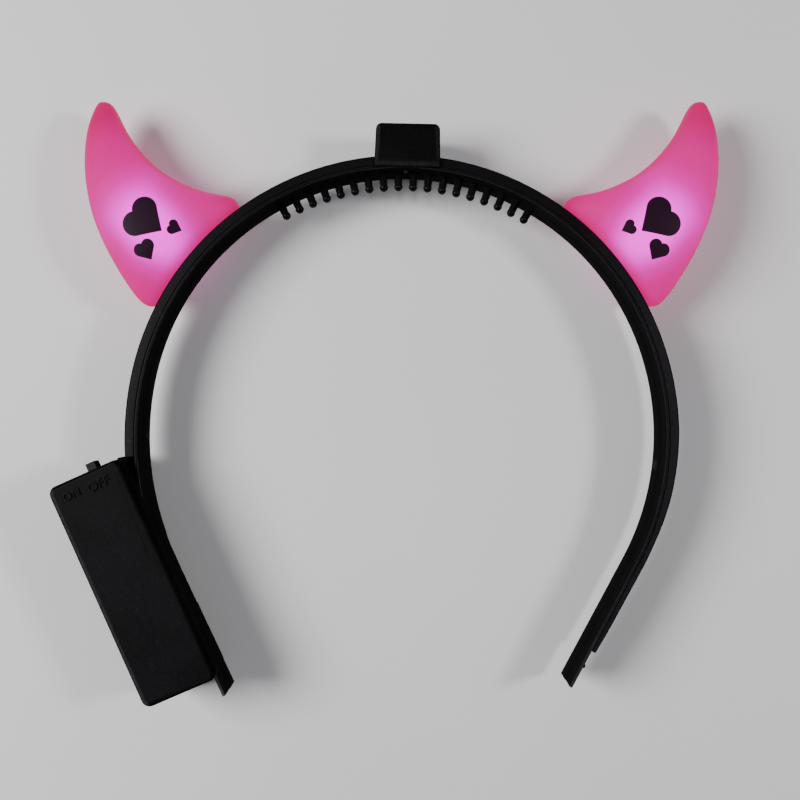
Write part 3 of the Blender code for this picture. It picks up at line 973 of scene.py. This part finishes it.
# %% Switch knob
knob_length = KNOB_HEIGHT + KNOB_ROOT
knob_middle = (
    SWITCH_MIDDLE + SWITCH_TRAVEL / 2,
    BOX_LENGTH / 2 + (KNOB_HEIGHT - KNOB_ROOT) / 2,
    KNOB_MIDDLE_DEPTH,
)
slide_knob = block("slide_knob", (KNOB_WIDTH, knob_length, KNOB_DEPTH), knob_middle)
knob_top = BOX_LENGTH / 2 + KNOB_HEIGHT
edit(slide_knob)
bpy.ops.mesh.select_all(action="SELECT")
bpy.ops.mesh.bevel(offset=0.25 * MM, segments=3, profile=0.5)
bpy.ops.object.mode_set(mode="OBJECT")
for k in (-1, 0, 1):
    groove = (knob_middle[0] + 0.75 * k, knob_top, KNOB_MIDDLE_DEPTH)
    cut(slide_knob, block("groove", (0.3, 0.5, KNOB_DEPTH + 1.0), groove))
place(slide_knob, box_place)
close_piece(slide_knob, switch_plastic, "switch_plastic", "switch", "switch_knob")

# %% [markdown]
# ## The horn's finish
# The horns are soft translucent rubber with a lamp inside. The rubber glows pale magenta near the
# lamp, turns pink on the way to the tip, and is redder where the surface turns away and the wall
# is seen edge on. True light through the wall would be slow and hard to export, so the glow is
# painted: its colour follows the distance from the lamp and the way the surface faces. Both horns
# share one finish, because the sideways distance is measured from the middle of the headband.

# %% Printed hearts
PRINT_UP = math.radians(45.0)

heart_group, given, result = new_group(
    "printed_heart",
    [("Place", VECTOR, None), ("Middle", VECTOR, None), ("Tilt", FLOAT, 0.0), ("Half side", FLOAT, 2.0)],
    [("Distance", FLOAT)],
)
moved = vector_node(heart_group, "SUBTRACT", given["Place"], given["Middle"])
leaning = add_node(
    heart_group, "ShaderNodeVectorRotate", {"Vector": moved, "Angle": given["Tilt"]}, rotation_type="Z_AXIS"
).outputs[0]
sides = [math_node(heart_group, "ABSOLUTE", split_vector(heart_group, leaning)[axis]) for axis in "XY"]
half = given["Half side"]
# A heart is a square that stands on a corner, with a round lobe on each of its two upper sides
outline = math_node(heart_group, "MAXIMUM", *sides)
for centre in ({"X": half}, {"Y": half}):
    away = vector_node(heart_group, "DISTANCE", leaning, join_vector(heart_group, **centre))
    outline = math_node(heart_group, "MINIMUM", outline, away)
heart_group.links.new(math_node(heart_group, "SUBTRACT", outline, half), result["Distance"])

# %% Glow by distance from the lamp
GLOW_CENTRE = (66.9, 54.6)
GLOW_REACH = 36.0
GLOW_COLOURS = (
    (0.0, (0.72, 0.0, 0.60)),
    (0.2, (0.64, 0.0, 0.52)),
    (0.28, (0.48, 0.0, 0.37)),
    (0.34, (0.38, 0.0, 0.25)),
    (0.4, (0.31, 0.0, 0.165)),
    (0.52, (0.27, 0.0, 0.105)),
    (0.74, (0.25, 0.0, 0.082)),
    (0.95, (0.20, 0.0, 0.045)),
)
# How much faster the glow fades sideways, towards the corners of the horn's base
BASE_FADE = 1.5
GLOW_STRENGTH = 3.2

horn_rubber, tree, shader, where = new_material("horn_rubber")
in_mm = vector_node(tree, "MULTIPLY", where["Object"], (1000.0,) * 3)
sideways = split_vector(tree, vector_node(tree, "SUBTRACT", in_mm, ARC_CENTRE))
folded = join_vector(tree, X=math_node(tree, "ABSOLUTE", sideways["X"]), Y=sideways["Y"])
from_lamp = vector_node(tree, "SUBTRACT", folded, (*GLOW_CENTRE, 0.0))
across_print = (math.sin(PRINT_UP), -math.cos(PRINT_UP), 0.0)
up_print = (math.cos(PRINT_UP), math.sin(PRINT_UP), 0.0)
across_part = vector_node(tree, "DOT_PRODUCT", from_lamp, across_print)
up_part = vector_node(tree, "DOT_PRODUCT", from_lamp, up_print)
base_stretch = ramp_between(tree, up_part, 14.0, 2.0, 1.0, BASE_FADE)
stretched = join_vector(tree, X=math_node(tree, "MULTIPLY", across_part, base_stretch), Y=up_part)
reach = math_node(tree, "DIVIDE", vector_node(tree, "LENGTH", stretched), GLOW_REACH)
glow = add_node(tree, "ShaderNodeValToRGB", {"Fac": reach})
stops = glow.color_ramp.elements
stops[1].position = 1.0
stops[1].color = (*GLOW_COLOURS[-1][1], 1.0)
stops[0].color = (*GLOW_COLOURS[0][1], 1.0)
for position, colour in GLOW_COLOURS[1:]:
    stops.new(position).color = (*colour, 1.0)
print("glow stops:", len(stops))

# %% Redder edges
EDGE_COLOUR = (0.22, 0.0, 0.04)
TURNED_WEIGHT, BASE_WEIGHT = 0.85, 0.8
facing = split_vector(tree, where["Normal"])["Z"]
turned_away = ramp_between(tree, math_node(tree, "ABSOLUTE", facing), 0.75, 0.1)
# Painted shade: the glow also turns redder close to the band, where the horn's base curves under
from_arc = vector_node(tree, "LENGTH", folded)
near_band = ramp_between(tree, from_arc, ARC_RADIUS + 7.0, ARC_RADIUS + 3.4)
by_turn = math_node(tree, "MULTIPLY", turned_away, TURNED_WEIGHT)
by_base = math_node(tree, "MULTIPLY", near_band, BASE_WEIGHT)
edge_share = math_node(tree, "MAXIMUM", by_turn, by_base)
lit = mix(tree, edge_share, glow.outputs["Color"], (*EDGE_COLOUR, 1.0))
print("edges are reddened up to", TURNED_WEIGHT)

# %% Printed hearts on the horn
# Heart: middle and tilt in the print's own plane, and half the side of its square, in mm
HEARTS = (((-0.6, 1.4), 12.0, 3.3), ((5.3, -4.0), -14.0, 1.7), ((-4.6, -5.0), 24.0, 1.15))
INK_EDGE = 0.07
print_place = join_vector(tree, X=across_part, Y=up_part)
ink = 0.0
for middle, tilt, half_side in HEARTS:
    turn = math.radians(tilt - 45.0)
    spot = {"Place": print_place, "Middle": (*middle, 0.0), "Tilt": turn, "Half side": half_side}
    distance = use_group(tree, heart_group, spot)["Distance"]
    ink = math_node(tree, "MAXIMUM", ramp_between(tree, distance, INK_EDGE, -INK_EDGE), ink)
ink = math_node(tree, "MULTIPLY", ink, ramp_between(tree, facing, 0.1, 0.3))
print("hearts printed on each horn:", len(HEARTS))

# %% Rubber skin
INK_LIT = (0.004, 0.0, 0.003, 1.0)
INK_SKIN = (0.006, 0.004, 0.006, 1.0)
RUBBER_TONES = ((0.09, 0.001, 0.02, 1.0), (0.12, 0.0015, 0.027, 1.0))
grain = use_group(tree, grain_group, {"Place": where["Object"], "Grains per metre": 1800.0})
uneven = use_group(tree, uneven_group, {"Place": where["Object"], "Low": 0.48, "High": 0.6})
light_out = mix(tree, ink, lit, INK_LIT)
skin = mix(tree, ink, mix(tree, uneven["Patch"], *RUBBER_TONES), INK_SKIN)
tree.links.new(skin, shader.inputs["Base Color"])
tree.links.new(light_out, shader.inputs["Emission Color"])
shader.inputs["Emission Strength"].default_value = GLOW_STRENGTH
shader.inputs["Specular IOR Level"].default_value = 0.06
tree.links.new(uneven["Roughness"], shader.inputs["Roughness"])
tree.links.new(relief_from(tree, grain["Height"], 0.004), shader.inputs["Normal"])
print("horn finish nodes:", len(tree.nodes))

# %% [markdown]
# ## The horns
# The measured horn already has the right shape and a true wall, but few faces. A copy of it is
# welded, its triangles are paired back into four-sided faces, and a subdivision surface rounds
# it, lip and tip as well. Before that its sides are drawn in a little and its tip is blunted,
# because the measured horn is slightly too wide there. A subdivision surface pulls in from its
# cage, so the cage is pushed out until the rounded skin passes close to the points it had.

# %% Horns
def push_out_cage(piece, rounds=3, share=0.8):
    """Move the points of a cage until its subdivision surface passes close to where they were."""
    goals = [vert.co.copy() for vert in piece.data.vertices]
    modifier = piece.modifiers.new("rounding", "SUBSURF")
    modifier.levels = modifier.render_levels = 2
    for _ in range(rounds):
        rounded = piece.evaluated_get(bpy.context.evaluated_depsgraph_get()).data
        now = [rounded.vertices[k].co.copy() for k in range(len(goals))]
        for vert, goal, place_now in zip(piece.data.vertices, goals, now):
            vert.co += (goal - place_now) * share
        piece.data.update()
    activate(piece)
    bpy.ops.object.modifier_apply(modifier=modifier.name)
    left = max((vert.co - goal).length for vert, goal in zip(piece.data.vertices, goals))
    print(piece.name, "passes within", round(1000 * left, 2), "mm of the points it had")


HORN_SLIM = 0.5
SLIM_FROM, SLIM_OVER = 80.0, 9.0
TIP_FROM, TIP_OVER = 86.0, 6.0
TIP_REACH = 3.0
TIP_BLUNTNESS = 0.75
TIP_DROP = 0.4


def slim_horn(piece):
    """Draw the sides of a horn in a little from where it leaves the band, and blunt its tip."""
    edit(piece)
    mesh = bmesh.from_edit_mesh(piece.data)
    mesh.normal_update()
    moves = {}
    for vert in mesh.verts:
        rel = (vert.co / MM - ARC_CENTRE).to_2d()
        share = min(1.0, max(0.0, (rel.length - SLIM_FROM) / SLIM_OVER))
        tip = min(1.0, max(0.0, (rel.y - TIP_FROM) / TIP_OVER))
        moves[vert] = Vector((vert.normal.x, vert.normal.y * (1.0 - tip), 0.0)) * -HORN_SLIM * share * MM
    for vert, move in moves.items():
        vert.co += move
    top = max(vert.co.y for vert in mesh.verts)
    for vert in mesh.verts:
        down = (top - vert.co.y) / MM / TIP_REACH
        if down < 1.0:
            blunt = down * (1.0 - TIP_BLUNTNESS * (1.0 - down)) * TIP_REACH + TIP_DROP * (1.0 - down)
            vert.co.y = top - blunt * MM
    bmesh.update_edit_mesh(piece.data)
    bpy.ops.object.mode_set(mode="OBJECT")


for side in ("left", "right"):
    solid = nodes["horn_" + side]
    horn = solid.copy()
    horn.data = solid.data.copy()
    horn.name = "soft_horn_" + side
    horn.data.name = horn.name
    horn.parent = None
    for key in list(horn.keys()):
        del horn[key]
    bpy.context.scene.collection.objects.link(horn)
    edit(horn)
    bpy.ops.mesh.select_all(action="SELECT")
    bpy.ops.mesh.remove_doubles(threshold=WELD)
    bpy.ops.mesh.tris_convert_to_quads(face_threshold=math.radians(60), shape_threshold=math.radians(60))
    bpy.ops.object.mode_set(mode="OBJECT")
    slim_horn(horn)
    push_out_cage(horn)
    close_piece(horn, horn_rubber, "horn_rubber", "headband", "horn_" + side, angle=60.0)

# %% [markdown]
# ## Lamps and door
# The lamps and the door keep their measured shapes. The door takes the plastic of the box, and
# the lamps a clear glossy plastic that glows all over in two pale tints.

# %% Lamp finish and carried-over solids
lamp_clear, tree, shader, where = new_material("lamp_clear")
clear_gloss = {"Place": where["Object"], "Patches per metre": 400.0, "Low": 0.08, "High": 0.2}
uneven = use_group(tree, uneven_group, clear_gloss)
tint = mix(tree, uneven["Patch"], (0.9, 0.55, 0.9, 1.0), (1.0, 0.8, 1.0, 1.0))
tree.links.new(tint, shader.inputs["Base Color"])
tree.links.new(tint, shader.inputs["Emission Color"])
tree.links.new(uneven["Roughness"], shader.inputs["Roughness"])
shader.inputs["Emission Strength"].default_value = 2.0

for name, material in (("battery_door", case_plastic), ("led_left", lamp_clear), ("led_right", lamp_clear)):
    nodes[name].data.materials.clear()
    nodes[name].data.materials.append(material)

# %% [markdown]
# ## Floor, light and camera
# The floor is a plain pale sheet with a very faint mottle. A large soft light at the left gives
# the soft shadows, and a smaller, weaker one at the right fills them and puts a second glint on
# each ball of the comb. The camera looks straight down from about 29 cm above the floor.

# %% Floor
deselect_all()
bpy.ops.mesh.primitive_plane_add(size=3.0, location=(0.0, 0.0, -0.00005))
floor = named("floor")
floor_paint, tree, shader, where = new_material("floor_paint")
mottle = noise(tree, where["Object"], 12.0, 5.0)
pale = mix(tree, mottle, (0.60, 0.59, 0.60, 1.0), (0.66, 0.65, 0.66, 1.0))
tree.links.new(pale, shader.inputs["Base Color"])
shader.inputs["Roughness"].default_value = 0.85
floor.data.materials.append(floor_paint)

# %% Soft lights
world = bpy.data.worlds.new("studio")
bpy.context.scene.world = world
world.use_nodes = True
background = world.node_tree.nodes["Background"].inputs
background["Color"].default_value = (0.9, 0.92, 1.0, 1.0)
background["Strength"].default_value = 0.16


def soft_light(name, spot, size, power):
    """A round lamp in watts that points at the middle of the floor; spot and size in metres."""
    data = bpy.data.lights.new(name, "AREA")
    data.shape = "DISK"
    data.size = size
    data.energy = power
    light = bpy.data.objects.new(name, data)
    light.location = spot
    light.rotation_euler = (-Vector(spot)).to_track_quat("-Z", "Y").to_euler()
    bpy.context.scene.collection.objects.link(light)


soft_light("key", (-0.55, 0.08, 0.55), 0.4, 9.1)
soft_light("fill", (0.50, 0.05, 0.50), 0.13, 2.4)

# %% Camera
FRAME_HALF = 108.0
FOCUS_DEPTH = 18.65
CAMERA_SPOT = Vector((2.72, -0.54, 285.7))
SENSOR = 36.0
camera_data = bpy.data.cameras.new("camera")
camera_data.sensor_width = SENSOR
camera_data.lens = SENSOR / 2 * (CAMERA_SPOT.z - FOCUS_DEPTH) / FRAME_HALF
camera_data.clip_start = 0.01
camera = bpy.data.objects.new("camera", camera_data)
camera.location = CAMERA_SPOT * MM
bpy.context.scene.collection.objects.link(camera)
bpy.context.scene.camera = camera
print("camera lens in mm:", round(camera_data.lens, 2))
